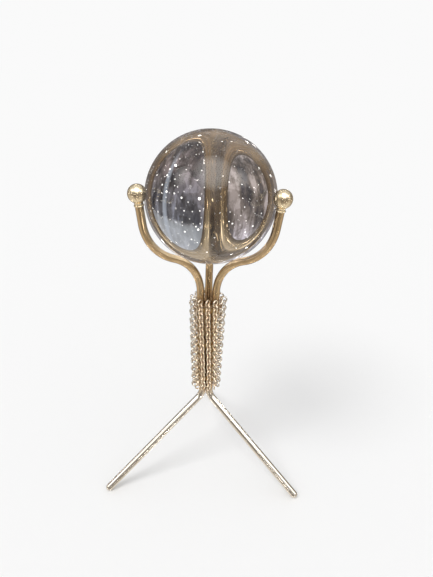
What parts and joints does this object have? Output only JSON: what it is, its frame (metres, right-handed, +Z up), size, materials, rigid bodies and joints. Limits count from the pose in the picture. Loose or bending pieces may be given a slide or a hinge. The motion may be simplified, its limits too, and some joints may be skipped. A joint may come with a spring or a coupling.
{
  "type": "crystal ball on tripod stand",
  "caption": "Clear solid glass ball cradled by a tripod stand of bent brass bars with ball finials, its slim stem sleeved in strands of round-link chain.",
  "frame": {"origin": "on the stand's axis, on the surface that the three feet stand on", "axes": "+Z up along the stand's axis; seen along +Y one bar is on the left, one on the right and one behind"},
  "size_m": [0.1374, 0.1196, 0.247],
  "materials": {
    "crystal": "polished clear",
    "bar_brass": "polished",
    "tip_brass": "polished",
    "finial_brass": "bright polished",
    "chain_metal": "pale champagne plate",
    "band_brass": "as rolled",
    "stud_steel": "as turned"
  },
  "bodies": {
    "stand": {"bar_left": "bar_brass", "tip_left": "tip_brass", "collar_left": "finial_brass", "finial_left": "finial_brass", "stud_left": "stud_steel", "bar_right": "bar_brass", "tip_right": "tip_brass", "collar_right": "finial_brass", "finial_right": "finial_brass", "stud_right": "stud_steel", "bar_rear": "bar_brass", "tip_rear": "tip_brass", "collar_rear": "finial_brass", "finial_rear": "finial_brass", "stud_rear": "stud_steel", "chain_strand_01": "chain_metal", "chain_strand_02": "chain_metal", "chain_strand_03": "chain_metal", "chain_strand_04": "chain_metal", "chain_strand_05": "chain_metal", "chain_strand_06": "chain_metal", "chain_strand_07": "chain_metal", "chain_strand_08": "chain_metal", "chain_strand_09": "chain_metal", "chain_strand_10": "chain_metal", "chain_strand_11": "chain_metal", "chain_strand_12": "chain_metal", "chain_strand_13": "chain_metal", "chain_hoop_top": "chain_metal", "chain_hoop_bottom": "chain_metal", "hoop_pins": "chain_metal", "binding_band_lower": "band_brass", "binding_band_middle": "band_brass", "binding_band_upper": "band_brass"},
    "ball": {"crystal_ball": "crystal"}
  },
  "joints": [
    {"name": "ball_lift", "type": "slide", "parent": "stand", "child": "ball", "axis": [0, 0, 1], "range_m": [0, 0.06]}
  ]
}
